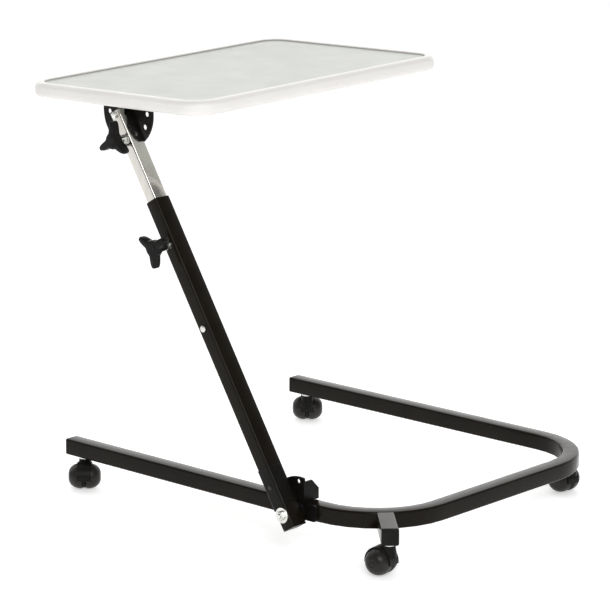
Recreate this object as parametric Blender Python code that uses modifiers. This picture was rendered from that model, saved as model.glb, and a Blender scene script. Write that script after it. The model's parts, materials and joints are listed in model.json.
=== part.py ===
"""Overbed table: a tilting tray on a clamped telescopic mast over a U-shaped caster base.

Lengths are in metres. X runs along the base legs toward the closed end bar, Y from the
near leg (the one that carries the mast) to the far leg, and Z is up.
"""
import math

import bmesh
import bpy
from mathutils import Vector

# Driving dimensions: tray
TRAY_X = 0.400
TRAY_Y = 0.600
TRAY_CORNER = 0.048
RIM_DEPTH = 0.024
RIM_WIDTH = 0.015
RIM_LIP = 0.003
PANEL_THICK = 0.012
TRAY_RISE = 0.0389
TRAY_CENTRE_Y = 0.012
TRAY_TILT = math.radians(1.25)
TRAY_PITCH = math.radians(1.2)

# Driving dimensions: base
TUBE = 0.0275
TUBE_EDGE = 0.003
TUBE_WALL = 0.0015
TUBE_BOTTOM = 0.0514
BASE_NEAR_Y = -0.2345
BASE_FAR_Y = 0.3525
BASE_OPEN_X = -0.1811
BASE_CLOSED_X = 0.5292
BEND_OUTER = 0.142
OUTRIGGER_ROOT = math.radians(-42.8)
OUTRIGGER_ANGLE = math.radians(-44.5)
OUTRIGGER_REACH = 0.0990
OUTRIGGER_CASTER = 0.0840
CASTER_X = -0.1485
CAP_THICK = 0.0025

# Driving dimensions: casters
WHEEL_RADIUS = 0.0215
WHEEL_WIDTH = 0.0235
WHEEL_GAP = 0.0034
WHEEL_TREAD = 0.006
WHEEL_HUB = 0.007
HOOD_RADIUS = 0.0238
HOOD_SHELL = 0.0017
HOOD_WIDTH = 0.024
CASTER_TRAIL = 0.014
COLLAR_RADIUS = 0.0100
COLLAR_HEIGHT = 0.0030
PIN_RADIUS = 0.0035

# Driving dimensions: mast and its pivots
PIVOT_X = 0.3535
MAST_LEAN = math.radians(31.65)
MAST_X = 0.025
MAST_Y = 0.032
MAST_WALL = 0.0012
MAST_CENTRE_Y = -0.2606
MAST_LOW = -0.022
MAST_HIGH = 0.5415
INNER_X = 0.021
INNER_Y = 0.028
INNER_WALL = 0.0015
INNER_LOW = 0.150
INNER_HIGH = 0.7005
HEAD_PIVOT = 0.6945
HEIGHT_CLAMP = 0.4655
STOP_SCREW = 0.320
SLOT_LOW = 0.156
SLOT_HIGH = 0.414
INDEX_RADIUS = 0.0470
INDEX_STEP = math.radians(30.0)
SHEET = 0.003
GAP = 0.0003

# Driving dimensions: brackets and knobs
CHEEK_RADIUS = 0.0545
CHEEK_FRONT = 0.0105
CHEEK_LUG = 0.038
WEB_WIDTH = 0.035
WEB_HEIGHT = 0.0335
WEB_CHAMFER = 0.016
SECTOR_RADIUS = 0.0555
CLAMP_RADIUS = 0.0423
FLANGE_LOW = 0.0085
FLANGE_LEFT = 0.060
FLANGE_RIGHT = 0.067
FLANGE_DEPTH = 0.074
KNOB_CORE = 0.0135
KNOB_REACH = 0.0195
KNOB_THICK = 0.014
HEIGHT_KNOB_STANDOFF = 0.026
TILT_KNOB_STANDOFF = 0.018
STUD_RADIUS = 0.004

# Worked out from the driving dimensions
TUBE_MID = TUBE_BOTTOM + TUBE / 2
BEND = BEND_OUTER - TUBE / 2
NEAR_LEG_Y = BASE_NEAR_Y + TUBE / 2
FAR_LEG_Y = BASE_FAR_Y - TUBE / 2
END_BAR_X = BASE_CLOSED_X - TUBE / 2
BEND_X = END_BAR_X - BEND
MAST_FACE = MAST_Y / 2
INNER_FACE = INNER_Y / 2
LEG_FACE = BASE_NEAR_Y - MAST_CENTRE_Y
CHEEK_NEAR = LEG_FACE - GAP - SHEET
SECTOR_NEAR = INNER_FACE + GAP
RIM_TOP = TRAY_RISE
RIM_BOTTOM = RIM_TOP - RIM_DEPTH
PANEL_TOP = RIM_TOP - RIM_LIP
PANEL_BOTTOM = PANEL_TOP - PANEL_THICK
TRAY_Y_OFFSET = TRAY_CENTRE_Y - MAST_CENTRE_Y - SECTOR_NEAR
FACE_Y = (math.pi / 2, 0, 0)


def collection(name):
    """Make a collection under the scene."""
    made = bpy.data.collections.new(name)
    bpy.context.scene.collection.children.link(made)
    return made


def clear_scene():
    """Remove whatever the scene holds."""
    for obj in list(bpy.data.objects):
        bpy.data.objects.remove(obj, do_unlink=True)


clear_scene()
PARTS = collection("overbed_table")
CUTTERS = collection("cutters")


def material(name, colour, roughness, metallic):
    """A Principled material of one finish."""
    made = bpy.data.materials.new(name)
    made.use_nodes = True
    shader = made.node_tree.nodes["Principled BSDF"]
    shader.inputs["Base Color"].default_value = (*colour, 1.0)
    shader.inputs["Roughness"].default_value = roughness
    shader.inputs["Metallic"].default_value = metallic
    made.diffuse_color = (*colour, 1.0)
    return made


FRAME_PAINT = material("dark_bronze_paint", (0.022, 0.019, 0.016), 0.32, 0.0)
CHROME = material("bright_chrome", (0.78, 0.77, 0.74), 0.18, 1.0)
ZINC = material("zinc_plate", (0.72, 0.72, 0.70), 0.28, 1.0)
BLACK = material("black_paint", (0.018, 0.018, 0.018), 0.42, 0.0)
PLASTIC = material("black_plastic", (0.022, 0.021, 0.020), 0.5, 0.0)
WHEEL = material("wheel_plastic", (0.040, 0.037, 0.032), 0.6, 0.0)
WHITE = material("white_moulding", (0.80, 0.79, 0.76), 0.38, 0.0)
LAMINATE = material("pale_laminate", (0.66, 0.67, 0.64), 0.45, 0.0)
NYLON = material("nylon", (0.12, 0.12, 0.12), 0.55, 0.0)


def finish(obj, name, mat, parent, at=(0, 0, 0), turn=(0, 0, 0)):
    """Name a piece, give it its material and hang it in its parent's frame."""
    obj.name = name
    obj.data.name = name
    obj.data.materials.clear()
    obj.data.materials.append(mat)
    obj.parent = parent
    obj.location = at
    obj.rotation_euler = turn
    return obj


def frame(name, parent, at=(0, 0, 0), turn=(0, 0, 0)):
    """An empty that marks a joint's axis or a local frame."""
    empty = bpy.data.objects.new(name, None)
    empty.empty_display_size = 0.03
    PARTS.objects.link(empty)
    empty.parent = parent
    empty.location = at
    empty.rotation_euler = turn
    return empty


def new_object(bm, smooth=False):
    """Turn a bmesh into an object of the parts collection."""
    bmesh.ops.recalc_face_normals(bm, faces=bm.faces)
    for face in bm.faces:
        face.smooth = smooth
    mesh = bpy.data.meshes.new("piece")
    bm.to_mesh(mesh)
    bm.free()
    obj = bpy.data.objects.new("piece", mesh)
    PARTS.objects.link(obj)
    return obj


def rod(radius, start, end, sides=32, end_radius=None):
    """A round, hexagonal or tapered bar from one point to another."""
    start = Vector(start)
    end = Vector(end)
    axis = end - start
    bm = bmesh.new()
    bmesh.ops.create_cone(bm, cap_ends=True, segments=sides, radius1=radius,
                          radius2=end_radius or radius, depth=axis.length)
    turn = Vector((0, 0, 1)).rotation_difference(axis).to_matrix()
    bmesh.ops.rotate(bm, cent=(0, 0, 0), matrix=turn, verts=bm.verts)
    bmesh.ops.translate(bm, vec=(start + end) / 2, verts=bm.verts)
    return new_object(bm, smooth=sides > 8)


def turned(profile, steps=32):
    """A piece turned on Z from a profile of (radius, height) that runs from top to bottom."""
    bm = bmesh.new()
    verts = [bm.verts.new((radius, 0, height)) for radius, height in profile]
    edges = [bm.edges.new(pair) for pair in zip(verts, verts[1:])]
    bmesh.ops.spin(bm, geom=verts + edges, cent=(0, 0, 0), axis=(0, 0, 1),
                   angle=2 * math.pi, steps=steps, use_merge=True)
    bmesh.ops.remove_doubles(bm, verts=bm.verts, dist=1e-6)
    return new_object(bm, smooth=True)


def arc(centre, radius, start, end, steps):
    """Points of an arc, from one angle to another in degrees."""
    points = []
    for step in range(steps + 1):
        angle = math.radians(start + (end - start) * step / steps)
        points.append((centre[0] + radius * math.cos(angle), centre[1] + radius * math.sin(angle)))
    return points


def circle(centre, radius, steps=24):
    """Points of a full circle."""
    return arc(centre, radius, 0, 360, steps)[:-1]


def rounded(width, height, radius, steps=3):
    """Outline of a rounded rectangle about the origin."""
    x = width / 2 - radius
    y = height / 2 - radius
    corners = [(x, y, 0), (-x, y, 90), (-x, -y, 180), (x, -y, 270)]
    points = []
    for cx, cy, start in corners:
        points += arc((cx, cy), radius, start, start + 90, steps)
    return points


def curve_data(outlines, dimensions):
    """Curve data with one closed straight-edged spline for each outline."""
    data = bpy.data.curves.new("outline", "CURVE")
    data.dimensions = dimensions
    for outline in outlines:
        spline = data.splines.new("POLY")
        spline.points.add(len(outline) - 1)
        spline.use_cyclic_u = True
        for point, place in zip(spline.points, outline):
            point.co = (*place[:2], 0, 1)
    return data


def to_mesh(curve_obj, flatten=False):
    """Replace a curve object with a welded mesh object of the same shape."""
    PARTS.objects.link(curve_obj)
    depsgraph = bpy.context.evaluated_depsgraph_get()
    mesh = bpy.data.meshes.new_from_object(curve_obj.evaluated_get(depsgraph))
    bm = bmesh.new()
    bm.from_mesh(mesh)
    bmesh.ops.remove_doubles(bm, verts=bm.verts, dist=1e-6)
    if flatten:
        bmesh.ops.dissolve_limit(bm, angle_limit=math.radians(0.5), verts=bm.verts, edges=bm.edges)
    bpy.data.objects.remove(curve_obj)
    bpy.data.meshes.remove(mesh)
    return new_object(bm)


def plate(outline, thickness, holes=()):
    """A flat piece in local XY, centred on its thickness, with holes."""
    data = curve_data([outline, *holes], "2D")
    data.fill_mode = "BOTH"
    data.extrude = thickness / 2
    return to_mesh(bpy.data.objects.new("outline", data), flatten=not holes)


def cut(obj, cutter, parent, at=(0, 0, 0), turn=(0, 0, 0), operation="DIFFERENCE"):
    """Take one shape away from a piece, or join it on."""
    PARTS.objects.unlink(cutter)
    CUTTERS.objects.link(cutter)
    cutter.name = "cutter"
    cutter.parent = parent
    cutter.location = at
    cutter.rotation_euler = turn
    cutter.hide_render = True
    cutter.display_type = "WIRE"
    step = obj.modifiers.new("boolean", "BOOLEAN")
    step.operation = operation
    step.solver = "EXACT"
    step.object = cutter


def join(obj, other, parent, at=(0, 0, 0), turn=(0, 0, 0)):
    """Join another shape onto a piece."""
    cut(obj, other, parent, at, turn, operation="UNION")


def round_edges(obj, width, segments=2, angle=50.0):
    """Round a piece's sharp edges."""
    step = obj.modifiers.new("bevel", "BEVEL")
    step.width = width
    step.segments = segments
    step.limit_method = "ANGLE"
    step.angle_limit = math.radians(angle)
    step.use_clamp_overlap = True


def smooth_by_angle(obj, angle=40.0):
    """Shade a piece smooth except across its sharp edges."""
    obj.data.shade_smooth()
    obj.data.set_sharp_from_angle(angle=math.radians(angle))


def washer(name, radius, hole, near, far, parent, mat, at=(0, 0, 0)):
    """A flat ring on Y, between two Y positions."""
    ring = plate(circle((0, 0), radius, 28), far - near, [circle((0, 0), hole, 20)])
    middle = (at[0], (near + far) / 2, at[2])
    return finish(ring, name, mat, parent, middle, FACE_Y)


def nut(name, flats, hole, near, far, parent, mat, at=(0, 0, 0)):
    """A hexagon nut on Y, between two Y positions."""
    hexagon = circle((0, 0), flats / math.sqrt(3), 6)
    body = plate(hexagon, far - near, [circle((0, 0), hole, 20)])
    middle = (at[0], (near + far) / 2, at[2])
    return finish(body, name, mat, parent, middle, FACE_Y)


def headed_bolt(name, shank, start, end, head, head_length, sides, parent, mat, at=(0, 0, 0)):
    """A bolt on Y whose head lies beyond its start, away from its end."""
    away = math.copysign(1.0, start - end)
    body = rod(shank, (at[0], start + away * head_length / 2, at[2]), (at[0], end, at[2]), 20)
    finish(body, name, mat, parent)
    top = rod(head, (at[0], start, at[2]), (at[0], start + away * head_length, at[2]), sides)
    round_edges(top, 0.0006, 2, 60)
    join(body, top, parent)
    return body


def base_path():
    """Centreline of the U-shaped base tube."""
    near = (BEND_X, NEAR_LEG_Y + BEND)
    far = (BEND_X, FAR_LEG_Y - BEND)
    open_x = BASE_OPEN_X + CAP_THICK + GAP
    path = [(open_x, NEAR_LEG_Y), (open_x + 0.02, NEAR_LEG_Y)]
    path += arc(near, BEND, -90, 0, 8)
    path += arc(far, BEND, 0, 90, 8)
    path += [(open_x + 0.02, FAR_LEG_Y), (open_x, FAR_LEG_Y)]
    return path


def make_base_frame(root):
    """The bent square tube, with its pivot bolt and caster stem holes."""
    profile_data = curve_data([rounded(TUBE, TUBE, TUBE_EDGE)], "2D")
    profile_data.fill_mode = "NONE"
    profile = bpy.data.objects.new("tube_profile", profile_data)
    CUTTERS.objects.link(profile)
    profile.hide_render = True
    data = bpy.data.curves.new("base_path", "CURVE")
    data.dimensions = "3D"
    data.twist_mode = "Z_UP"
    data.bevel_mode = "OBJECT"
    data.bevel_object = profile
    spline = data.splines.new("POLY")
    path = base_path()
    spline.points.add(len(path) - 1)
    for point, place in zip(spline.points, path):
        point.co = (*place, TUBE_MID, 1)
    tube = to_mesh(bpy.data.objects.new("base_path", data))
    finish(tube, "base_frame", FRAME_PAINT, root)
    shell = tube.modifiers.new("wall", "SOLIDIFY")
    shell.thickness = TUBE_WALL
    shell.offset = -1.0
    smooth_by_angle(tube, 35)
    hole = rod(0.0043, (PIVOT_X, BASE_NEAR_Y - 0.01, TUBE_MID), (PIVOT_X, BASE_NEAR_Y + 0.04, TUBE_MID))
    cut(tube, hole, root)
    for x, y, _ in caster_places()[:3]:
        cut(tube, rod(0.0053, (x, y, 0.040), (x, y, TUBE_MID), 20), root)
    return tube


def outrigger_point(reach):
    """A point along the outrigger, measured from where it leaves the bend's centreline."""
    x = BEND_X + BEND * math.cos(OUTRIGGER_ROOT) + reach * math.cos(OUTRIGGER_ANGLE)
    y = NEAR_LEG_Y + BEND + BEND * math.sin(OUTRIGGER_ROOT) + reach * math.sin(OUTRIGGER_ANGLE)
    return x, y


def caster_places():
    """X, Y and yaw of every caster swivel: three under the U and one under the outrigger."""
    far_bend = BEND * math.sqrt(0.5)
    return [
        (CASTER_X, NEAR_LEG_Y, math.radians(132)),
        (CASTER_X, FAR_LEG_Y, math.radians(-50)),
        (BEND_X + far_bend, FAR_LEG_Y - BEND + far_bend, math.radians(-8)),
        (*outrigger_point(OUTRIGGER_CASTER), math.radians(8)),
    ]


def make_outrigger(root):
    """The short square tube welded to the near bend, cut to the bend's outer face."""
    low = -0.006
    high = OUTRIGGER_REACH - CAP_THICK - GAP
    ring = rounded(TUBE, TUBE, TUBE_EDGE, 4)
    bore = rounded(TUBE - 2 * TUBE_WALL, TUBE - 2 * TUBE_WALL, TUBE_EDGE - TUBE_WALL)
    tube = plate(ring, high - low, [bore])
    middle = outrigger_point((low + high) / 2)
    finish(tube, "outrigger", FRAME_PAINT, root, (*middle, TUBE_MID), (math.pi / 2, 0, OUTRIGGER_ANGLE + math.pi / 2))
    smooth_by_angle(tube, 35)
    centre = (BEND_X, NEAR_LEG_Y + BEND)
    bend = rod(BEND_OUTER + GAP, (*centre, 0.02), (*centre, 0.12), 90)
    cut(tube, bend, root)
    x, y = outrigger_point(OUTRIGGER_CASTER)
    cut(tube, rod(0.0053, (x, y, 0.040), (x, y, TUBE_MID), 20), root)


def make_end_cap(name, root, at, heading):
    """A moulded plug in a square tube's end: a face and a hollow insert."""
    face = plate(rounded(TUBE, TUBE, TUBE_EDGE), CAP_THICK)
    finish(face, name, PLASTIC, root, (*at, TUBE_MID), (math.pi / 2, 0, heading + math.pi / 2))
    round_edges(face, 0.0009, 2)
    smooth_by_angle(face)
    size = TUBE - 2 * TUBE_WALL - 2 * GAP
    depth = 0.007
    insert = plate(rounded(size, size, 0.001), depth, [rounded(size - 0.005, size - 0.005, 0.001)])
    back = Vector((math.cos(heading), math.sin(heading))) * (CAP_THICK / 2 + depth / 2 - 0.0005)
    join(face, insert, root, (at[0] - back.x, at[1] - back.y, TUBE_MID), face.rotation_euler)


def make_end_caps(root):
    """Plugs for both open legs and the outrigger."""
    x = BASE_OPEN_X + CAP_THICK / 2
    make_end_cap("end_cap_near_leg", root, (x, NEAR_LEG_Y), math.pi)
    make_end_cap("end_cap_far_leg", root, (x, FAR_LEG_Y), math.pi)
    make_end_cap("end_cap_outrigger", root, outrigger_point(OUTRIGGER_REACH - CAP_THICK / 2), OUTRIGGER_ANGLE)


def make_base_bracket(pivot):
    """The folded saddle: a cheek with index holes and a web across the leg."""
    half = TUBE / 2
    start = 180 + math.degrees(math.asin(half / CHEEK_RADIUS))
    end = math.degrees(math.acos(CHEEK_FRONT / CHEEK_RADIUS))
    corner = 0.008
    outline = arc((0, 0), CHEEK_RADIUS, start, end, 20)
    outline += [(CHEEK_FRONT, half + GAP)]
    outline += arc((CHEEK_LUG - corner, half - corner), corner, 90, 0, 4)
    outline += arc((CHEEK_LUG - corner, corner - half), corner, 0, -90, 4)
    holes = [circle((0, 0), 0.0043)]
    for step in (-1, 0, 1):
        angle = math.pi / 2 + MAST_LEAN + step * INDEX_STEP
        place = (INDEX_RADIUS * math.cos(angle), INDEX_RADIUS * math.sin(angle))
        holes.append(circle(place, 0.0035, 16))
    cheek = plate(outline, SHEET, holes)
    finish(cheek, "base_bracket", BLACK, pivot, (0, CHEEK_NEAR + SHEET / 2, 0), FACE_Y)
    low = half + GAP
    web_outline = [(0, 0), (WEB_WIDTH, 0), (WEB_WIDTH, WEB_HEIGHT - WEB_CHAMFER),
                   (WEB_WIDTH - WEB_CHAMFER, WEB_HEIGHT), (0, WEB_HEIGHT)]
    web = plate(web_outline, SHEET)
    at = (CHEEK_FRONT - SHEET / 2, CHEEK_NEAR + 0.0001, low)
    join(cheek, web, pivot, at, (math.pi / 2, 0, math.pi / 2))


def make_base_pivot(pivot):
    """Pivot bolt, its washer and nut, and the spacer between mast and cheek."""
    head_start = LEG_FACE + TUBE + GAP
    near = -MAST_FACE
    washer("pivot_washer", 0.0125, 0.0043, near - GAP - 0.0015, near - GAP, pivot, ZINC)
    nut("pivot_nut", 0.013, 0.0043, near - 0.0083, near - 0.0021, pivot, ZINC)
    headed_bolt("pivot_bolt", 0.004, head_start, near - 0.0105, 0.0075, 0.0053, 6, pivot, ZINC)
    washer("pivot_spacer", 0.014, 0.0043, MAST_FACE + 0.0004, CHEEK_NEAR - GAP, pivot, PLASTIC)


def make_mast(lean):
    """The outer mast tube and what is fixed to it."""
    ring = rounded(MAST_X, MAST_Y, 0.003)
    bore_x = MAST_X - 2 * MAST_WALL
    bore_y = MAST_Y - 2 * MAST_WALL
    tube = plate(ring, MAST_HIGH - MAST_LOW, [rounded(bore_x, bore_y, 0.0018)])
    finish(tube, "mast_tube", FRAME_PAINT, lean, (0, 0, (MAST_HIGH + MAST_LOW) / 2))
    smooth_by_angle(tube, 35)
    face = MAST_FACE + 0.004
    for height, radius in ((0.0, 0.0043), (INDEX_RADIUS, 0.0034)):
        cut(tube, rod(radius, (0, -face, height), (0, face, height), 24), lean)
    for height, radius in ((STOP_SCREW, 0.0030), (HEIGHT_CLAMP, 0.0044)):
        cut(tube, rod(radius, (0, -face, height), (0, 0, height), 24), lean)
    plug = plate(rounded(MAST_X, MAST_Y, 0.003), 0.002)
    finish(plug, "mast_foot_cap", PLASTIC, lean, (0, 0, MAST_LOW - GAP - 0.001))
    round_edges(plug, 0.0006, 1)
    insert = plate(rounded(bore_x - 2 * GAP, bore_y - 2 * GAP, 0.0015), 0.009)
    join(plug, insert, lean, (0, 0, MAST_LOW + 0.0040))
    opening = rounded(INNER_X + 0.0004, INNER_Y + 0.0004, 0.002)
    collar = plate(rounded(MAST_X - 0.0006, MAST_Y - 0.0006, 0.003), 0.0012)
    finish(collar, "mast_top_bush", PLASTIC, lean, (0, 0, MAST_HIGH + 0.0009))
    liner = plate(rounded(bore_x - 0.0004, bore_y - 0.0004, 0.0018), 0.016)
    join(collar, liner, lean, (0, 0, MAST_HIGH - 0.0072))
    cut(collar, plate(opening, 0.05), lean, (0, 0, MAST_HIGH))
    near = -MAST_FACE - GAP
    tip = CHEEK_NEAR - 0.0004
    headed_bolt("index_bolt", 0.003, near, tip, 0.0040, 0.0022, 24, lean, ZINC, (0, 0, INDEX_RADIUS))
    tip = -INNER_FACE + INNER_WALL
    headed_bolt("stop_screw", 0.0026, near, tip, 0.0055, 0.0032, 24, lean, ZINC, (0, 0, STOP_SCREW))
    nut("height_nut", 0.014, 0.0043, near - 0.006, near, lean, ZINC, (0, 0, HEIGHT_CLAMP))


def lobe_outline():
    """Outline of a three-lobed hand knob, by a smooth formula."""
    points = []
    steps = 60
    for step in range(steps):
        angle = 2 * math.pi * step / steps
        swell = ((1 + math.cos(3 * angle)) / 2) ** 4.2
        radius = KNOB_CORE + KNOB_REACH * swell
        points.append((radius * math.cos(angle), radius * math.sin(angle)))
    return points


def make_knob(name, turn, standoff, bare, stud_tip):
    """A lobed clamp knob whose frame lies on the tube's face, with its stud."""
    back = -standoff
    front = back - KNOB_THICK
    knob = plate(lobe_outline(), KNOB_THICK)
    finish(knob, name, PLASTIC, turn, (0, (back + front) / 2, 0), FACE_Y)
    round_edges(knob, 0.0030, 2, 50)
    smooth_by_angle(knob, 60)
    boss = rod(0.0070, (0, -bare, 0), (0, back - 0.001, 0), 24, end_radius=0.0090)
    join(knob, boss, turn)
    button = rod(0.0085, (0, front + 0.001, 0), (0, front - 0.0012, 0), 24, end_radius=0.0075)
    join(knob, button, turn)
    socket = rod(STUD_RADIUS + 0.0002, (0, 0, 0), (0, back - 0.006, 0), 24)
    cut(knob, socket, turn)
    stud = rod(STUD_RADIUS, (0, stud_tip, 0), (0, back - 0.0055, 0), 24)
    finish(stud, name + "_stud", ZINC, turn)


def make_inner_mast(slide):
    """The sliding tube with its slot, plugs and head pivot hardware."""
    ring = rounded(INNER_X, INNER_Y, 0.0025)
    bore_x = INNER_X - 2 * INNER_WALL
    bore_y = INNER_Y - 2 * INNER_WALL
    tube = plate(ring, INNER_HIGH - INNER_LOW, [rounded(bore_x, bore_y, 0.001)])
    finish(tube, "inner_tube", CHROME, slide, (0, 0, (INNER_HIGH + INNER_LOW) / 2))
    smooth_by_angle(tube, 35)
    face = INNER_FACE + 0.004
    cut(tube, rod(0.0033, (0, -face, HEAD_PIVOT), (0, face, HEAD_PIVOT), 24), slide)
    stud = HEAD_PIVOT - CLAMP_RADIUS
    cut(tube, rod(0.0044, (0, -face, stud), (0, face, stud), 24), slide)
    slot = plate(rounded(0.0064, SLOT_HIGH - SLOT_LOW, 0.0031, 4), 0.008)
    cut(tube, slot, slide, (0, -INNER_FACE, (SLOT_HIGH + SLOT_LOW) / 2), FACE_Y)
    cap = plate(rounded(INNER_X, INNER_Y, 0.0025), 0.0015)
    finish(cap, "inner_tube_top_plug", PLASTIC, slide, (0, 0, INNER_HIGH + GAP + 0.00075))
    insert = plate(rounded(bore_x - 2 * GAP, bore_y - 2 * GAP, 0.001), 0.003)
    join(cap, insert, slide, (0, 0, INNER_HIGH - 0.0009))
    guide = plate(rounded(MAST_X - 2 * MAST_WALL - 0.0004, MAST_Y - 2 * MAST_WALL - 0.0004, 0.0018), 0.003)
    finish(guide, "inner_tube_guide", NYLON, slide, (0, 0, INNER_LOW - GAP - 0.0015))
    insert = plate(rounded(bore_x - 2 * GAP, bore_y - 2 * GAP, 0.001), 0.0095)
    join(guide, insert, slide, (0, 0, INNER_LOW + 0.0040))
    at = (0, 0, HEAD_PIVOT)
    near = -INNER_FACE - GAP
    far = SECTOR_NEAR + SHEET + GAP
    headed_bolt("tilt_pivot_bolt", 0.003, near, far + 0.0086, 0.0058, 0.0042, 6, slide, ZINC, at)
    washer("tilt_pivot_washer", 0.0062, 0.0032, far, far + 0.0014, slide, ZINC, at)
    nut("tilt_pivot_nut", 0.010, 0.0032, far + 0.0017, far + 0.0066, slide, ZINC, at)
    at = (0, 0, stud)
    washer("tilt_clamp_washer", 0.0090, 0.0043, near - 0.0014, near, slide, ZINC, at)
    nut("tilt_clamp_nut", 0.013, 0.0043, near - 0.0077, near - 0.0017, slide, ZINC, at)


def make_tilt_bracket(tilt, pitch):
    """The sector plate and its folded flange under the tray."""
    top = FLANGE_LOW + SHEET
    outline = [(-SECTOR_RADIUS, top)]
    outline += arc((0, 0), SECTOR_RADIUS, 180, 360, 28)
    outline += [(SECTOR_RADIUS, top)]
    holes = [circle((0, 0), 0.0032, 16)]
    for step in range(-2, 5):
        angle = MAST_LEAN - math.pi / 2 - step * INDEX_STEP
        place = (CLAMP_RADIUS * math.cos(angle), CLAMP_RADIUS * math.sin(angle))
        holes.append(circle(place, 0.0045, 16))
    sector = plate(outline, SHEET, holes)
    finish(sector, "tilt_bracket", BLACK, tilt, (0, SECTOR_NEAR + SHEET / 2, 0), FACE_Y)
    chamfer = 0.012
    far = FLANGE_DEPTH
    flange_outline = [(-FLANGE_LEFT, 0), (FLANGE_RIGHT - chamfer, 0), (FLANGE_RIGHT, chamfer),
                      (FLANGE_RIGHT, far - chamfer), (FLANGE_RIGHT - chamfer, far),
                      (chamfer - FLANGE_LEFT, far), (-FLANGE_LEFT, far - chamfer)]
    bolts = [circle((0, y), 0.0034, 16) for y in bracket_bolt_offsets()]
    flange = plate(flange_outline, SHEET, bolts)
    join(sector, flange, pitch, (0, 0.0001, FLANGE_LOW + SHEET / 2))


def bracket_bolt_offsets():
    """Y of the two flange bolts, from the sector plate's near face."""
    return 0.028, 0.056


RAIL_WEB = 0.020
RAIL_LIP = 0.034
RAIL_WALL = 0.002
RAIL_BOTTOM = FLANGE_LOW + SHEET + GAP
RAIL_TOP = PANEL_BOTTOM - GAP
RAIL_NEAR = SHEET + 0.0017
RAIL_FAR = TRAY_Y_OFFSET + TRAY_Y / 2 - 0.060
RAIL_SCREW_X = (RAIL_WEB + RAIL_LIP) / 2
RAIL_SCREW_Y = (RAIL_NEAR + 0.060, RAIL_FAR - 0.060)


def make_support_rail(tilt):
    """The hat-section rail that carries the panel, with its holes."""
    outline = [(-RAIL_LIP, RAIL_TOP), (-RAIL_LIP, RAIL_TOP - RAIL_WALL), (-RAIL_WEB, RAIL_TOP - RAIL_WALL),
               (-RAIL_WEB, RAIL_BOTTOM), (RAIL_WEB, RAIL_BOTTOM), (RAIL_WEB, RAIL_TOP - RAIL_WALL),
               (RAIL_LIP, RAIL_TOP - RAIL_WALL), (RAIL_LIP, RAIL_TOP), (RAIL_WEB - RAIL_WALL, RAIL_TOP),
               (RAIL_WEB - RAIL_WALL, RAIL_BOTTOM + RAIL_WALL), (RAIL_WALL - RAIL_WEB, RAIL_BOTTOM + RAIL_WALL),
               (RAIL_WALL - RAIL_WEB, RAIL_TOP)]
    rail = plate(outline, RAIL_FAR - RAIL_NEAR)
    finish(rail, "support_rail", BLACK, tilt, (0, (RAIL_FAR + RAIL_NEAR) / 2, 0), FACE_Y)
    for x in (-RAIL_SCREW_X, RAIL_SCREW_X):
        for y in RAIL_SCREW_Y:
            cut(rail, rod(0.0024, (x, y, RAIL_TOP - 0.004), (x, y, RAIL_TOP + 0.002), 16), tilt)
    for offset in bracket_bolt_offsets():
        y = offset
        cut(rail, rod(0.0034, (0, y, RAIL_BOTTOM - 0.002), (0, y, RAIL_BOTTOM + 0.004), 16), tilt)


def make_fixings(tilt):
    """Screws up through the rail's lips, and bolts through the flange into the rail."""
    number = 0
    for x in (-RAIL_SCREW_X, RAIL_SCREW_X):
        for y in RAIL_SCREW_Y:
            number += 1
            under = RAIL_TOP - RAIL_WALL - GAP
            profile = [(0, PANEL_BOTTOM + 0.008), (0.0020, PANEL_BOTTOM + 0.007), (0.0020, under),
                       (0.0042, under), (0.0042, under - 0.0012), (0.0026, under - 0.0024), (0, under - 0.0024)]
            screw = turned(profile, 16)
            finish(screw, f"rail_screw_{number}", ZINC, tilt, (x, y, 0))
    for index, offset in enumerate(bracket_bolt_offsets()):
        y = offset
        profile = [(0, 0.022), (0.0030, 0.021), (0.0030, FLANGE_LOW - GAP), (0.0056, FLANGE_LOW - GAP),
                   (0.0056, FLANGE_LOW - 0.0022), (0.0036, FLANGE_LOW - 0.0034), (0, FLANGE_LOW - 0.0034)]
        bolt = turned(profile, 20)
        finish(bolt, f"bracket_bolt_{index + 1}", ZINC, tilt, (0, y, 0))


def make_tray(tilt):
    """The laminated panel and the moulded rim that holds it on an inner ledge."""
    centre = (0, TRAY_Y_OFFSET)
    ledge = 0.006
    inner_x = TRAY_X - 2 * RIM_WIDTH
    inner_y = TRAY_Y - 2 * RIM_WIDTH
    inner_corner = TRAY_CORNER - RIM_WIDTH
    panel_outline = rounded(inner_x - 2 * GAP, inner_y - 2 * GAP, inner_corner, 9)
    panel = plate(panel_outline, PANEL_THICK)
    finish(panel, "tabletop_panel", LAMINATE, tilt, (*centre, (PANEL_TOP + PANEL_BOTTOM) / 2))
    round_edges(panel, 0.0006, 1)
    for x in (-RAIL_SCREW_X, RAIL_SCREW_X):
        for y in RAIL_SCREW_Y:
            cut(panel, rod(0.0023, (x, y, PANEL_BOTTOM - 0.002), (x, y, PANEL_BOTTOM + 0.0088), 16), tilt)
    rim = plate(rounded(TRAY_X, TRAY_Y, TRAY_CORNER, 9), RIM_DEPTH)
    finish(rim, "tabletop_rim", WHITE, tilt, (*centre, (RIM_TOP + RIM_BOTTOM) / 2))
    round_edges(rim, 0.0085, 5, 40)
    smooth_by_angle(rim, 50)
    pocket = plate(rounded(inner_x, inner_y, inner_corner, 9), RIM_DEPTH)
    cut(rim, pocket, tilt, (*centre, PANEL_BOTTOM - GAP + RIM_DEPTH / 2))
    well = plate(rounded(inner_x - 2 * ledge, inner_y - 2 * ledge, inner_corner - ledge, 9), 2 * RIM_DEPTH)
    cut(rim, well, tilt, (*centre, (RIM_TOP + RIM_BOTTOM) / 2))


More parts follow.
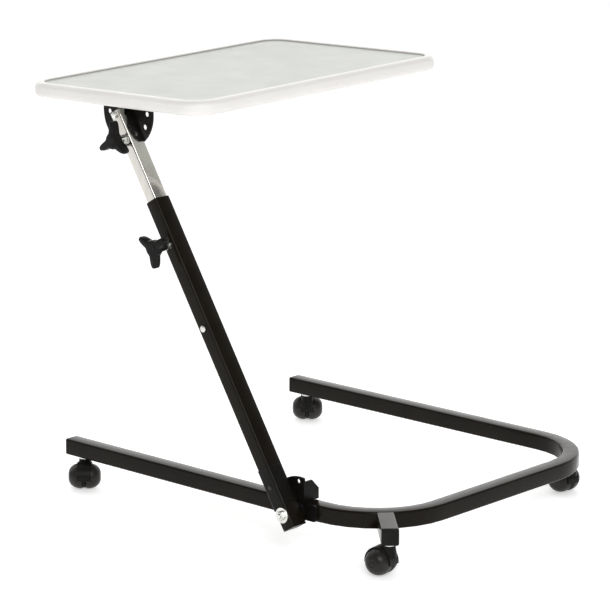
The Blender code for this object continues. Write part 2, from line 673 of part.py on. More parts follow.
def wheel_profile():
    """Outer half of a ball-shaped wheel's profile, from its hub to its tread."""
    steps = 7
    bulge = WHEEL_WIDTH - WHEEL_TREAD
    points = [(0, WHEEL_WIDTH)]
    for step in range(steps + 1):
        angle = math.pi / 2 * (1 - step / steps)
        radius = WHEEL_HUB + (WHEEL_RADIUS - WHEEL_HUB) * math.cos(angle)
        points.append((radius, WHEEL_TREAD + bulge * math.sin(angle)))
    return points


def make_hood(name, swivel):
    """Caster body: a web between the wheels, a fender over them and a neck on the stem."""
    axle = (-CASTER_TRAIL, 0, WHEEL_RADIUS)
    web_half = WHEEL_GAP - 0.0004
    neck_top = TUBE_BOTTOM - GAP - COLLAR_HEIGHT - 0.0004
    fender = plate(arc((0, 0), HOOD_RADIUS, -8, 188, 20), HOOD_WIDTH)
    finish(fender, name, PLASTIC, swivel, axle, FACE_Y)
    neck = rod(0.0125, (0, 0, WHEEL_RADIUS + 0.009), (0, 0, neck_top), 28, end_radius=0.0098)
    join(fender, neck, swivel)
    space = HOOD_RADIUS - HOOD_SHELL
    for side in (-1, 1):
        low = (axle[0], side * web_half, axle[2])
        high = (axle[0], side * 0.030, axle[2])
        cut(fender, rod(space, low, high, 40), swivel)
    web_outline = arc((0, 0), HOOD_RADIUS - 0.0007, -5, 185, 16) + arc((0, 0), 0.015, 200, 340, 8)
    join(fender, plate(web_outline, 2 * web_half), swivel, axle, FACE_Y)
    cut(fender, rod(PIN_RADIUS + GAP, (0, 0, neck_top - 0.0056), (0, 0, 0.06), 20), swivel)
    cut(fender, rod(0.0032, (axle[0], -0.02, axle[2]), (axle[0], 0.02, axle[2]), 20), swivel)
    smooth_by_angle(fender, 35)


def make_wheel(name, swivel, side):
    """One ball-shaped wheel of a pair; its outer face looks along side times Y."""
    profile = wheel_profile()
    profile += [(WHEEL_RADIUS, 0.0012), (WHEEL_RADIUS - 0.0008, 0), (0.0033, 0), (0.0033, 0.0120), (0, 0.0120)]
    wheel = turned(profile, 28)
    wheel.data.set_sharp_from_angle(angle=math.radians(40))
    at = (-CASTER_TRAIL, side * WHEEL_GAP, WHEEL_RADIUS)
    finish(wheel, name, WHEEL, swivel, at, (-side * math.pi / 2, 0, 0))


def make_caster(name, root, place):
    """A twin-wheel caster on its stem under the base tube."""
    x, y, yaw = place
    top = TUBE_BOTTOM - GAP
    profile = [(0, top + 0.020), (0.0042, top + 0.020), (0.0050, top + 0.019), (0.0050, top),
               (COLLAR_RADIUS, top), (COLLAR_RADIUS, top - 0.0022), (COLLAR_RADIUS - 0.0008, top - COLLAR_HEIGHT),
               (PIN_RADIUS, top - COLLAR_HEIGHT), (PIN_RADIUS, top - 0.0080), (PIN_RADIUS - 0.0006, top - 0.0086),
               (0, top - 0.0086)]
    collar = turned(profile, 18)
    collar.data.set_sharp_from_angle(angle=math.radians(40))
    finish(collar, name + "_collar", ZINC, root, (x, y, 0))
    swivel = frame(name + "_swivel", root, (x, y, 0), (0, 0, yaw))
    make_hood(name + "_hood", swivel)
    reach = WHEEL_GAP + 0.0110
    axle = rod(0.003, (0, -reach, 0), (0, reach, 0), 20)
    finish(axle, name + "_axle", ZINC, swivel, (-CASTER_TRAIL, 0, WHEEL_RADIUS))
    make_wheel(name + "_wheel_left", swivel, 1)
    make_wheel(name + "_wheel_right", swivel, -1)


def centre_on_floor(root):
    """Move everything so that the finished box is centred on the origin."""
    bpy.context.view_layer.update()
    depsgraph = bpy.context.evaluated_depsgraph_get()
    corners = []
    for obj in PARTS.objects:
        if obj.type == "MESH":
            corners += world_points(obj.evaluated_get(depsgraph))
    for axis in (0, 1):
        values = [corner[axis] for corner in corners]
        root.location[axis] -= (min(values) + max(values)) / 2
    bpy.context.view_layer.update()


def world_points(obj):
    """World positions of an evaluated object's points."""
    return [obj.matrix_world @ vertex.co for vertex in obj.data.vertices]


def main():
    root = frame("overbed_table_root", None)
    make_base_frame(root)
    make_outrigger(root)
    make_end_caps(root)
    names = ("near_left", "far_left", "far_right", "near_right")
    for name, place in zip(names, caster_places()):
        make_caster("caster_" + name, root, place)
    pivot = frame("base_pivot", root, (PIVOT_X, MAST_CENTRE_Y, TUBE_MID))
    make_base_bracket(pivot)
    make_base_pivot(pivot)
    lean = frame("mast_lean", root, (PIVOT_X, MAST_CENTRE_Y, TUBE_MID), (0, -MAST_LEAN, 0))
    make_mast(lean)
    knob = frame("height_knob_turn", lean, (0, -MAST_FACE, HEIGHT_CLAMP), (0, math.radians(-4), 0))
    make_knob("height_knob", knob, HEIGHT_KNOB_STANDOFF, 0.009, MAST_FACE - INNER_FACE - GAP)
    slide = frame("height_slide", lean)
    make_inner_mast(slide)
    clamp = frame("tilt_knob_turn", slide, (0, -INNER_FACE, HEAD_PIVOT - CLAMP_RADIUS), (0, math.radians(61), 0))
    make_knob("tilt_knob", clamp, TILT_KNOB_STANDOFF, 0.014, INNER_Y - 0.0002)
    tilt = frame("tabletop_tilt", slide, (0, 0, HEAD_PIVOT), (0, MAST_LEAN - TRAY_TILT, 0))
    pitch = frame("tray_pitch", tilt, (0, SECTOR_NEAR, 0), (TRAY_PITCH, 0, 0))
    make_tilt_bracket(tilt, pitch)
    make_support_rail(pitch)
    make_fixings(pitch)
    make_tray(pitch)
    centre_on_floor(root)


main()
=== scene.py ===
"""Overbed table: materials, finer wheels and rim, and a plain studio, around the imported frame.

Lengths are in metres.
"""

import json
import math

import bmesh
import bpy
from mathutils import Matrix, Vector

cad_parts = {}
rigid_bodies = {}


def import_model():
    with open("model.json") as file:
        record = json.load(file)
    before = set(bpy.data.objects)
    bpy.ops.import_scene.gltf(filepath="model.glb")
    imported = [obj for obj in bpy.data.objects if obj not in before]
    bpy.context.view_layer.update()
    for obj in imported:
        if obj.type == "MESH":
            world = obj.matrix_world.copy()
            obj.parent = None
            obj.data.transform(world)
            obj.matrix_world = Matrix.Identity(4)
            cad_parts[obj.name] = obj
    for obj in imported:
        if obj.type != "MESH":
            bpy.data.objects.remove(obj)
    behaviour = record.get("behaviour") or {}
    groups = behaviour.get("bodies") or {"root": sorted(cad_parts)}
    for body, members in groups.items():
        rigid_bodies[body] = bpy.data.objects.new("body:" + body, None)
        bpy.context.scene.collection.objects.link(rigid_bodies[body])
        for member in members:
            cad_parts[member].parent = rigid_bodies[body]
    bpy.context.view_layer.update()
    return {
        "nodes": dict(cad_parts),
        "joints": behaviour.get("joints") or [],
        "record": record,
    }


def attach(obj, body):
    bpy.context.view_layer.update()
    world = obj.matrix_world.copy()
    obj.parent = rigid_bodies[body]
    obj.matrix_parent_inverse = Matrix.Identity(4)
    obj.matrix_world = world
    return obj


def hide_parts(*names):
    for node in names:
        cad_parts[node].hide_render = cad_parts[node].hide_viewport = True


# Camera, as fitted: where it stands, which way it looks, and its lens
CAMERA_AT = (3.2180, -3.6245, 1.4582)
CAMERA_TURN = math.radians(42.044)
CAMERA_DROP = math.radians(13.198)
CAMERA_ROLL = math.radians(-0.163)
CAMERA_LENS = 177.46

# Tabletop: how far it is off level, and the rim's section
TRAY_TILT = math.radians(1.25)
TRAY_PITCH = math.radians(1.2)
TRAY_SIZE = (0.400, 0.600)
TRAY_CORNER = 0.048
RIM_WIDTH = 0.015
RIM_LIP = 0.003
RIM_DEPTH = 0.024
RIM_ROUND = 0.0085
LEDGE = 0.006
POCKET = 0.0123

# Casters: the wheels, and the disc of the caster's body between each pair
WHEEL_RADIUS = 0.0215
WHEEL_WIDTH = 0.0235
WHEEL_GAP = 0.0034
WHEEL_TREAD = 0.0035
WHEEL_HUB = 0.0055
SKIRT_RADIUS = 0.0203
SKIRT_HALF = 0.0028
SKIRT_BORE = 0.0042
SKIRT_EDGE = 0.0006
SKIRT_START = 170
SKIRT_SWEEP = 200
SKIRT_STEPS = 48
WHEEL_TURNS = 72

# Mast: its lean and its tube's size, and the channel round its foot, measured up the tube from the pivot
MAST_LEAN = math.radians(31.65)
MAST_X = 0.025
MAST_Y = 0.032
SLEEVE_LOW = 0.0165
SLEEVE_HIGH = 0.0790
SLEEVE_GAP = 0.0001
SLEEVE_THICK = 0.0011
SLEEVE_BEND = 0.0030
SLEEVE_OPENING = 0.006

# Meshes: how close points are merged, and the angles above which an edge stays sharp
MERGE_FACETS = 0.000002
MERGE_POINTS = 0.000005
FACET_ANGLE = math.radians(34)
SHARP_ANGLE = math.radians(38)

# Light: the world away from and towards the bright backdrop side, the floor's glow, and the softboxes in watts
WORLD_NEAR = 0.24
WORLD_FAR = 1.75
FLOOR_GLOW = 0.47
KEY_POWER = 135.0
TOP_POWER = 14.0
SIDE_POWER = 12.0
FLOOR_REACH = 30.0
FLOOR_DROP = 0.0004


def node(tree, kind, **inputs):
    """Add a shader node and set its inputs by name."""
    made = tree.nodes.new(kind)
    for name, value in inputs.items():
        made.inputs[name.replace("_", " ")].default_value = value
    return made


def noise(tree, source, scale, detail=4.0, roughness=0.55):
    """A noise texture over the given coordinates."""
    made = node(tree, "ShaderNodeTexNoise", Scale=scale, Detail=detail, Roughness=roughness)
    tree.links.new(source, made.inputs["Vector"])
    return made.outputs["Fac"]


def ranged(tree, source, low, high, start=0.3, end=0.7):
    """Map a noise value onto a range."""
    made = node(tree, "ShaderNodeMapRange", From_Min=start, From_Max=end, To_Min=low, To_Max=high)
    tree.links.new(source, made.inputs["Value"])
    return made.outputs["Result"]


def blended(tree, factor, first, second):
    """Mix two colours, or a colour link and a colour, by a factor."""
    made = tree.nodes.new("ShaderNodeMix")
    made.data_type = "RGBA"
    tree.links.new(factor, made.inputs["Factor"])
    for socket, value in ((made.inputs[6], first), (made.inputs[7], second)):
        if isinstance(value, bpy.types.NodeSocket):
            tree.links.new(value, socket)
        else:
            socket.default_value = (*value, 1.0)
    return made.outputs[2]


def surface(name, metallic=0.0, specular=0.5, turn=(0, 0, 0), stretch=(1, 1, 1)):
    """Start a material: its tree, its shader, plain coordinates and stretched ones."""
    material = bpy.data.materials.new(name)
    material.use_nodes = True
    tree = material.node_tree
    shader = tree.nodes["Principled BSDF"]
    shader.inputs["Metallic"].default_value = metallic
    shader.inputs["Specular IOR Level"].default_value = specular
    coords = tree.nodes.new("ShaderNodeTexCoord").outputs["Object"]
    mapping = tree.nodes.new("ShaderNodeMapping")
    mapping.inputs["Rotation"].default_value = turn
    mapping.inputs["Scale"].default_value = stretch
    tree.links.new(coords, mapping.inputs["Vector"])
    return material, tree, shader, coords, mapping.outputs["Vector"]


def relief(tree, shader, height, strength, distance):
    """Drive the shader's normal from a height."""
    bump = node(tree, "ShaderNodeBump", Strength=strength, Distance=distance)
    tree.links.new(height, bump.inputs["Height"])
    tree.links.new(bump.outputs["Normal"], shader.inputs["Normal"])


def painted(name, colour, worn, rough, specular, peel=0.00006):
    """Sprayed or powder-coated steel: orange peel, faint blotches, rubbed patches."""
    material, tree, shader, coords, _ = surface(name, specular=specular)
    blotch = ranged(tree, noise(tree, coords, 14.0), 0.0, 1.0)
    specks = ranged(tree, noise(tree, coords, 420.0, 3.0), 0.0, 1.0, 0.62, 0.78)
    base = blended(tree, blotch, colour, tuple(c * 1.55 for c in colour))
    tree.links.new(blended(tree, specks, base, worn), shader.inputs["Base Color"])
    rub = ranged(tree, noise(tree, coords, 30.0, 6.0), rough - 0.06, rough + 0.08)
    tree.links.new(rub, shader.inputs["Roughness"])
    relief(tree, shader, noise(tree, coords, 650.0, 2.0), 0.35, peel)
    return material


def moulded(name, colour, lighter, rough, specular, grain=900.0, depth=0.00005):
    """Moulded plastic: a fine spark-eroded texture and uneven gloss."""
    material, tree, shader, coords, _ = surface(name, specular=specular)
    handled = ranged(tree, noise(tree, coords, 60.0, 5.0), 0.0, 1.0)
    tree.links.new(blended(tree, handled, colour, lighter), shader.inputs["Base Color"])
    gloss = ranged(tree, noise(tree, coords, 110.0, 5.0), rough - 0.07, rough + 0.07)
    tree.links.new(gloss, shader.inputs["Roughness"])
    relief(tree, shader, noise(tree, coords, grain, 2.0), 0.3, depth)
    return material


def plated(name, colour, darker, rough, turn=(0, 0, 0), stretch=(1, 1, 1), scale=40.0, scratch=0.18):
    """Plated steel: drawn streaks, a little haze and fine scratches."""
    material, tree, shader, coords, along = surface(name, metallic=1.0, turn=turn, stretch=stretch)
    haze = ranged(tree, noise(tree, along, scale, 6.0), 0.0, 1.0)
    tree.links.new(blended(tree, haze, colour, darker), shader.inputs["Base Color"])
    streaks = ranged(tree, noise(tree, along, scale * 6, 4.0), rough - 0.05, rough + 0.07)
    tree.links.new(streaks, shader.inputs["Roughness"])
    relief(tree, shader, noise(tree, along, scale * 9, 3.0), scratch, 0.00004)
    return material


def laminate():
    """Pale high-pressure laminate: a faint drawn grain, fine flecks and a satin face."""
    stretch = (9.0, 1.0, 1.0)
    material, tree, shader, coords, along = surface("pale_laminate", specular=0.4, stretch=stretch)
    grain = ranged(tree, noise(tree, along, 16.0, 7.0, 0.62), 0.0, 1.0, 0.32, 0.68)
    flecks = ranged(tree, noise(tree, coords, 520.0, 3.0), 0.0, 1.0, 0.56, 0.74)
    cloud = ranged(tree, noise(tree, coords, 5.0, 3.0), 0.0, 1.0)
    base = blended(tree, grain, (0.512, 0.532, 0.503), (0.543, 0.561, 0.533))
    base = blended(tree, flecks, base, (0.477, 0.494, 0.466))
    tree.links.new(blended(tree, cloud, base, (0.537, 0.555, 0.528)), shader.inputs["Base Color"])
    rub = ranged(tree, noise(tree, coords, 22.0, 6.0), 0.34, 0.46)
    tree.links.new(rub, shader.inputs["Roughness"])
    relief(tree, shader, noise(tree, along, 160.0, 3.0), 0.2, 0.00003)
    return material


def white_edging():
    """Smooth white moulded edging with a soft sheen and a few faint scuffs."""
    material, tree, shader, coords, _ = surface("white_moulding", specular=0.45)
    cloud = ranged(tree, noise(tree, coords, 9.0, 4.0), 0.0, 1.0)
    scuff = ranged(tree, noise(tree, coords, 95.0, 8.0, 0.7), 0.0, 1.0, 0.66, 0.80)
    base = blended(tree, cloud, (0.795, 0.778, 0.755), (0.830, 0.815, 0.793))
    tree.links.new(blended(tree, scuff, base, (0.760, 0.745, 0.715)), shader.inputs["Base Color"])
    gloss = ranged(tree, noise(tree, coords, 70.0, 5.0), 0.26, 0.40)
    tree.links.new(gloss, shader.inputs["Roughness"])
    relief(tree, shader, noise(tree, coords, 420.0, 2.0), 0.15, 0.00004)
    return material


def make_materials():
    """One material for each slot in the record, and two finishes of their own: a darker grey for the bead of
    painted shade at the panel's edge, and a dull bolt.
    """
    along_mast = (0, MAST_LEAN, 0)
    return {
        "dark_bronze_paint": painted("dark_bronze_paint", (0.0070, 0.0055, 0.0038), (0.024, 0.019, 0.014),
                                     0.19, 0.10),
        "bright_chrome": plated("bright_chrome", (0.66, 0.64, 0.60), (0.56, 0.54, 0.505), 0.13,
                                along_mast, (1.0, 1.0, 0.04), 60.0, 0.03),
        "zinc_plate": plated("zinc_plate", (0.86, 0.86, 0.84), (0.66, 0.66, 0.63), 0.27),
        "black_paint": painted("black_paint", (0.0048, 0.0043, 0.0040), (0.026, 0.023, 0.021), 0.30, 0.12),
        "black_plastic": moulded("black_plastic", (0.0060, 0.0056, 0.0054), (0.0105, 0.0098, 0.0094),
                                 0.36, 0.12),
        "wheel_plastic": moulded("wheel_plastic", (0.0105, 0.0092, 0.0080), (0.0250, 0.0222, 0.0195),
                                 0.38, 0.26, 700.0),
        "white_moulding": white_edging(),
        "pale_laminate": laminate(),
        "dulled_zinc": plated("dulled_zinc", (0.070, 0.066, 0.060), (0.030, 0.028, 0.026), 0.42),
        # Darker grey for the bead round the panel's edge: painted shade at the foot of the edging's lip.
        "sealant": moulded("sealant", (0.36, 0.35, 0.335), (0.46, 0.45, 0.435), 0.55, 0.3),
        "nylon": moulded("nylon", (0.10, 0.10, 0.10), (0.14, 0.14, 0.13), 0.5, 0.4),
    }


def smoothing():
    """A modifier tree that welds facets and shades them smooth across shallow angles."""
    tree = bpy.data.node_groups.new("smooth_facets", "GeometryNodeTree")
    tree.interface.new_socket("Geometry", in_out="INPUT", socket_type="NodeSocketGeometry")
    tree.interface.new_socket("Geometry", in_out="OUTPUT", socket_type="NodeSocketGeometry")
    start = tree.nodes.new("NodeGroupInput")
    end = tree.nodes.new("NodeGroupOutput")
    weld = tree.nodes.new("GeometryNodeMergeByDistance")
    weld.inputs["Distance"].default_value = MERGE_FACETS
    angle = tree.nodes.new("GeometryNodeInputMeshEdgeAngle")
    shallow = tree.nodes.new("FunctionNodeCompare")
    shallow.data_type = "FLOAT"
    shallow.operation = "LESS_THAN"
    shallow.inputs[1].default_value = FACET_ANGLE
    faces = tree.nodes.new("GeometryNodeSetShadeSmooth")
    faces.domain = "FACE"
    edges = tree.nodes.new("GeometryNodeSetShadeSmooth")
    edges.domain = "EDGE"
    link = tree.links.new
    link(start.outputs[0], weld.inputs["Geometry"])
    link(weld.outputs["Geometry"], faces.inputs["Geometry"])
    link(faces.outputs["Geometry"], edges.inputs["Geometry"])
    link(angle.outputs["Unsigned Angle"], shallow.inputs[0])
    link(shallow.outputs["Result"], edges.inputs["Shade Smooth"])
    link(edges.outputs["Geometry"], end.inputs[0])
    return tree


def dress_nodes(frame, materials):
    """Give every CAD node its slot's material and smooth shading; the index bolt is duller than the rest."""
    slots = {part["node"]: part["material_slot"] for part in frame["record"]["subparts"]}
    tree = smoothing()
    for name, obj in frame["nodes"].items():
        finish = materials["dulled_zinc" if name == "index_bolt" else slots[name]]
        for index in range(len(obj.material_slots)):
            obj.material_slots[index].material = finish
        if not obj.material_slots:
            obj.data.materials.append(finish)
        modifier = obj.modifiers.new("smooth_facets", "NODES")
        modifier.node_group = tree


def new_piece(name, points, faces, material):
    """A mesh piece in the row frame."""
    mesh = bpy.data.meshes.new(name)
    mesh.from_pydata([tuple(p) for p in points], [], faces)
    mesh.validate()
    mesh.update()
    obj = bpy.data.objects.new(name, mesh)
    bpy.context.scene.collection.objects.link(obj)
    mesh.materials.append(material)
    for polygon in mesh.polygons:
        polygon.use_smooth = True
    mesh.set_sharp_from_angle(angle=SHARP_ANGLE)
    return obj


def swept(rings, closed_ring, closed_path):
    """Faces of a grid of rings, each ring a list of points."""
    count = len(rings[0])
    points = [point for ring in rings for point in ring]
    faces = []
    spans = len(rings) if closed_path else len(rings) - 1
    steps = count if closed_ring else count - 1
    for i in range(spans):
        a = i * count
        b = (i + 1) % len(rings) * count
        for j in range(steps):
            k = (j + 1) % count
            faces.append((a + j, b + j, b + k, a + k))
    return points, faces


def wheel_section():
    """Half section of a ball-shaped wheel with a hub cap, a groove round it and a tread edge."""
    outer = WHEEL_WIDTH
    section = [(0.0, outer), (0.0036, outer), (0.0041, outer - 0.0002)]
    section += [(0.0043, outer - 0.0007), (0.0048, outer - 0.0007), (0.0050, outer - 0.0002)]
    steps = 22
    for step in range(steps + 1):
        angle = math.pi / 2 * (1 - step / steps)
        radius = WHEEL_HUB + (WHEEL_RADIUS - WHEEL_HUB) * math.cos(angle)
        section.append((radius, WHEEL_TREAD + (outer - WHEEL_TREAD) * math.sin(angle)))
    section += [(WHEEL_RADIUS, 0.0012), (WHEEL_RADIUS - 0.0003, 0.0004), (WHEEL_RADIUS - 0.0009, 0.0)]
    section += [(0.0170, 0.0), (0.0166, 0.0012), (0.0080, 0.0012), (0.0076, 0.0)]
    section += [(0.0033, 0.0), (0.0033, 0.0120), (0.0, 0.0120)]
    return section


def make_wheels(frame, materials):
    """Turned wheels in place of the faceted ones, each on its own spinning body."""
    section = wheel_section()
    for joint in frame["joints"]:
        if not joint["name"].endswith("_spin"):
            continue
        side = 1 if joint["name"].endswith("left_spin") else -1
        axis = Vector(joint["axis"]).normalized() * side
        centre = Vector(joint["pos_m"]) + axis * WHEEL_GAP
        across = axis.cross(Vector((0, 0, 1))).normalized()
        up = across.cross(axis).normalized()
        rings = []
        for step in range(WHEEL_TURNS):
            angle = 2 * math.pi * step / WHEEL_TURNS
            ray = across * math.cos(angle) + up * math.sin(angle)
            rings.append([centre + ray * radius + axis * height for radius, height in section])
        points, faces = swept(rings, False, True)
        body = joint["child"]
        caster, hand = body.replace("_wheel", "").rsplit("_", 1)
        wheel = new_piece(f"{caster}_ball_wheel_{hand}", points, faces, materials["wheel_plastic"])
        weld(wheel)
        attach(wheel, body)
        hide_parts(f"{caster}_wheel_{hand}")


def make_skirts(frame, materials):
    """The lower half of each caster's body, a disc between its wheels that reaches nearly to the floor."""
    shoulder = SKIRT_RADIUS - SKIRT_EDGE
    edge = SKIRT_HALF - SKIRT_EDGE
    section = [(SKIRT_BORE, -SKIRT_HALF), (shoulder, -SKIRT_HALF), (SKIRT_RADIUS, -edge)]
    section += [(SKIRT_RADIUS, edge), (shoulder, SKIRT_HALF), (SKIRT_BORE, SKIRT_HALF)]
    for joint in frame["joints"]:
        if not joint["name"].endswith("left_spin"):
            continue
        axis = Vector(joint["axis"]).normalized()
        centre = Vector(joint["pos_m"])
        across = axis.cross(Vector((0, 0, 1))).normalized()
        rings = []
        for step in range(SKIRT_STEPS + 1):
            angle = math.radians(SKIRT_START + SKIRT_SWEEP * step / SKIRT_STEPS)
            ray = across * math.cos(angle) + Vector((0, 0, 1)) * math.sin(angle)
            rings.append([centre + ray * radius + axis * along for radius, along in section])
        points, faces = swept(rings, True, False)
        count = len(section)
        faces.append(tuple(range(count)))
        faces.append(tuple(range(len(points) - 1, len(points) - 1 - count, -1)))
        skirt = new_piece(joint["parent"] + "_skirt", points, faces, materials["black_plastic"])
        weld(skirt)
        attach(skirt, joint["parent"])


def make_sleeve(frame, materials):
    """The black pressed channel that stiffens the mast's foot round its pivot and index bolts."""
    pivot = next(j for j in frame["joints"] if j["name"] == "mast_lean")["pos_m"]
    pose = Matrix.Translation(Vector(pivot)) @ Matrix.Rotation(-MAST_LEAN, 4, "Y")
    half_x = MAST_X / 2
    half_y = MAST_Y / 2
    outer = []
    inner = []
    for quarter in (math.pi, 1.5 * math.pi):
        cx = half_x - SLEEVE_BEND if quarter > math.pi else SLEEVE_BEND - half_x
        cy = SLEEVE_BEND - half_y
        for step in range(9):
            angle = quarter + math.pi / 2 * step / 8
            way = Vector((math.cos(angle), math.sin(angle)))
            outer.append(Vector((cx, cy)) + way * (SLEEVE_BEND + SLEEVE_THICK + SLEEVE_GAP))
            inner.append(Vector((cx, cy)) + way * (SLEEVE_BEND + SLEEVE_GAP))
    back = half_y - SLEEVE_OPENING
    reach = half_x + SLEEVE_GAP
    side = reach + SLEEVE_THICK
    outer = [Vector((-side, back))] + outer + [Vector((side, back))]
    inner = [Vector((-reach, back))] + inner + [Vector((reach, back))]
    loop = outer + inner[::-1]
    rings = [[pose @ Vector((p.x, p.y, height)) for p in loop] for height in (SLEEVE_LOW, SLEEVE_HIGH)]
    points, faces = swept(rings, True, False)
    count = len(outer)
    total = len(loop)
    for base, flip in ((0, False), (total, True)):
        for i in range(count - 1):
            quad = (base + i, base + i + 1, base + total - 2 - i, base + total - 1 - i)
            faces.append(quad[::-1] if flip else quad)
    sleeve = new_piece("mast_foot_sleeve", points, faces, materials["black_paint"])
    weld(sleeve)
    edge = sleeve.modifiers.new("edge", "BEVEL")
    edge.width = 0.0003
    edge.segments = 2
    edge.limit_method = "ANGLE"
    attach(sleeve, "mast")


def weld(obj):
    """Merge doubled points and turn every face outwards."""
    bm = bmesh.new()
    bm.from_mesh(obj.data)
    bmesh.ops.remove_doubles(bm, verts=bm.verts, dist=MERGE_POINTS)
    bmesh.ops.recalc_face_normals(bm, faces=bm.faces)
    bm.to_mesh(obj.data)
    bm.free()
    obj.data.set_sharp_from_angle(angle=SHARP_ANGLE)


def rim_section():
    """The edging's closed section: offset outwards from the panel, and height above its face."""
    low = RIM_LIP - RIM_DEPTH
    middle = RIM_WIDTH - RIM_ROUND
    section = [(0.0, -POCKET), (0.0, RIM_LIP - 0.0014), (0.0003, RIM_LIP - 0.0006)]
    section += [(0.0008, RIM_LIP - 0.0001), (0.0016, RIM_LIP)]
    steps = 12
    for start, centre in ((math.pi / 2, RIM_LIP - RIM_ROUND), (0.0, low + RIM_ROUND)):
        for step in range(steps + 1):
            angle = start - math.pi / 2 * step / steps
            section.append((middle + RIM_ROUND * math.cos(angle), centre + RIM_ROUND * math.sin(angle)))
    section += [(-LEDGE + 0.0006, low), (-LEDGE, low + 0.0006), (-LEDGE, -POCKET)]
    return section


def rounded_path(width, depth, corner, steps):
    """Points and outward directions round a rounded rectangle."""
    path = []
    for quarter in range(4):
        middle = quarter * math.pi / 2 + math.pi / 4
        x = math.copysign(width / 2 - corner, math.cos(middle))
        y = math.copysign(depth / 2 - corner, math.sin(middle))
        for step in range(steps + 1):
            angle = quarter * math.pi / 2 + math.pi / 2 * step / steps
            way = Vector((math.cos(angle), math.sin(angle), 0))
            path.append((Vector((x, y, 0)) + way * corner, way))
    return path


def tray_pose(frame):
    """The tabletop's own frame: on the panel's face, at its middle, as far off level as the panel is."""
    at = Vector(frame["record"]["mounts"][0]["pos_m"])
    return Matrix.Translation(at) @ Matrix.Rotation(-TRAY_TILT, 4, "Y") @ Matrix.Rotation(TRAY_PITCH, 4, "X")


def swept_round_panel(frame, name, section, material):
    """A closed section swept round the panel's edge, as a piece of the tabletop."""
    pose = tray_pose(frame)
    width = TRAY_SIZE[0] - 2 * RIM_WIDTH
    depth = TRAY_SIZE[1] - 2 * RIM_WIDTH
    rings = []
    for point, way in rounded_path(width, depth, TRAY_CORNER - RIM_WIDTH, 24):
        rings.append([pose @ (point + way * out + Vector((0, 0, up))) for out, up in section])
    points, faces = swept(rings, True, True)
    piece = new_piece(name, points, faces, material)
    weld(piece)
    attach(piece, "tabletop")
    return piece


def make_rim(frame, materials):
    """The tabletop's edging, with a softly rounded section."""
    rim = swept_round_panel(frame, "tabletop_edging", rim_section(), materials["white_moulding"])
    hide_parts("tabletop_rim")


def make_shadow_bead(frame, materials):
    """A thin darker grey bead in the corner between the panel and the edging's lip: painted shade, standing in
    for the shadow at the foot of the lip.
    """
    section = [(0.0004, -0.0008), (-0.0012, -0.0008), (-0.0012, 0.0002), (-0.0010, 0.0005)]
    section += [(-0.0005, 0.0010), (-0.0002, 0.0016), (0.0004, 0.0016)]
    seam = swept_round_panel(frame, "panel_sealant", section, materials["sealant"])


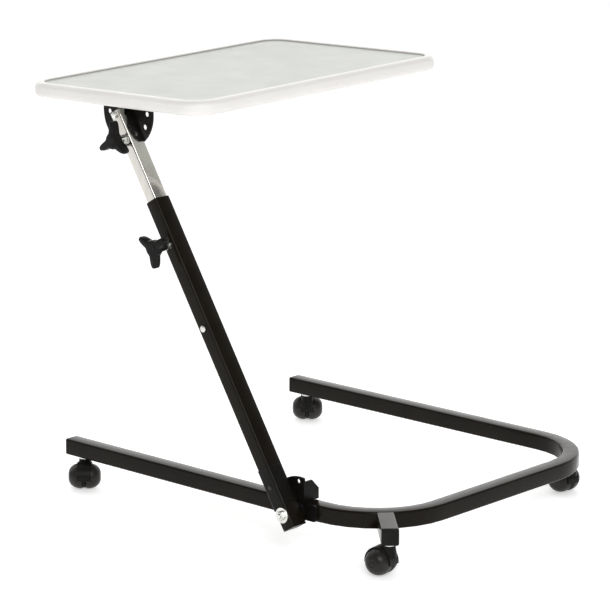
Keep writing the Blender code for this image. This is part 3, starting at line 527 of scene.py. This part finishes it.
def make_studio():
    """A pale floor, a world that is brighter behind the table, and soft lights."""
    mesh = bpy.data.meshes.new("studio_floor")
    corners = [(FLOOR_REACH * x, FLOOR_REACH * y, -FLOOR_DROP) for x, y in ((-1, -1), (1, -1), (1, 1), (-1, 1))]
    mesh.from_pydata(corners, [], [(0, 1, 2, 3)])
    floor = bpy.data.objects.new("studio_floor", mesh)
    bpy.context.scene.collection.objects.link(floor)
    material, tree, shader, coords, _ = surface("studio_floor", specular=0.0)
    tone = ranged(tree, noise(tree, coords, 1.5), 0.0, 1.0)
    tree.links.new(blended(tree, tone, (0.87, 0.87, 0.87), (0.89, 0.89, 0.89)), shader.inputs["Base Color"])
    shader.inputs["Roughness"].default_value = 0.9
    shader.inputs["Emission Color"].default_value = (1.0, 1.0, 1.0, 1.0)
    shader.inputs["Emission Strength"].default_value = FLOOR_GLOW
    mesh.materials.append(material)

    world = bpy.data.worlds.new("studio")
    bpy.context.scene.world = world
    world.use_nodes = True
    tree = world.node_tree
    coords = tree.nodes.new("ShaderNodeTexCoord").outputs["Generated"]
    dot = tree.nodes.new("ShaderNodeVectorMath")
    dot.operation = "DOT_PRODUCT"
    dot.inputs[1].default_value = (-math.sin(CAMERA_TURN), math.cos(CAMERA_TURN), 0.25)
    tree.links.new(coords, dot.inputs[0])
    glow = node(tree, "ShaderNodeMapRange", From_Min=0.30, From_Max=0.95, To_Min=WORLD_NEAR, To_Max=WORLD_FAR)
    tree.links.new(dot.outputs["Value"], glow.inputs["Value"])
    tree.links.new(glow.outputs["Result"], tree.nodes["Background"].inputs["Strength"])
    tree.nodes["Background"].inputs["Color"].default_value = (1.0, 0.995, 0.985, 1.0)

    add_light("key_softbox", (3.7, -3.0, 3.2), (0.0, -0.1, 0.45), 2.4, KEY_POWER)
    add_light("top_softbox", (-0.6, 0.6, 3.4), (0.0, 0.0, 0.5), 3.0, TOP_POWER)
    add_light("side_softbox", (-3.4, -1.6, 2.2), (0.0, 0.0, 0.4), 2.0, SIDE_POWER)


def add_light(name, at, target, size, power):
    """A square soft light aimed at a point."""
    data = bpy.data.lights.new(name, "AREA")
    data.shape = "SQUARE"
    data.size = size
    data.energy = power
    light = bpy.data.objects.new(name, data)
    bpy.context.scene.collection.objects.link(light)
    way = Vector(target) - Vector(at)
    light.rotation_euler = way.to_track_quat("-Z", "Y").to_euler()
    light.location = at


def make_camera():
    """The camera at the fitted viewing angle."""
    right = Vector((math.cos(CAMERA_TURN), math.sin(CAMERA_TURN), 0))
    ahead = Vector((-math.sin(CAMERA_TURN) * math.cos(CAMERA_DROP),
                    math.cos(CAMERA_TURN) * math.cos(CAMERA_DROP), -math.sin(CAMERA_DROP)))
    up = right.cross(ahead)
    x_axis = right * math.cos(CAMERA_ROLL) - up * math.sin(CAMERA_ROLL)
    y_axis = right * math.sin(CAMERA_ROLL) + up * math.cos(CAMERA_ROLL)
    data = bpy.data.cameras.new("camera")
    data.lens = CAMERA_LENS
    data.sensor_width = 36.0
    data.clip_end = 100.0
    camera = bpy.data.objects.new("camera", data)
    bpy.context.scene.collection.objects.link(camera)
    basis = Matrix((x_axis, y_axis, -ahead)).transposed()
    camera.matrix_world = Matrix.Translation(CAMERA_AT) @ basis.to_4x4()
    bpy.context.scene.camera = camera


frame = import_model()
make_camera()
materials = make_materials()
dress_nodes(frame, materials)
make_wheels(frame, materials)
make_rim(frame, materials)
make_shadow_bead(frame, materials)
make_skirts(frame, materials)
make_sleeve(frame, materials)
make_studio()
bpy.context.scene.view_settings.view_transform = "Standard"
bpy.context.view_layer.update()
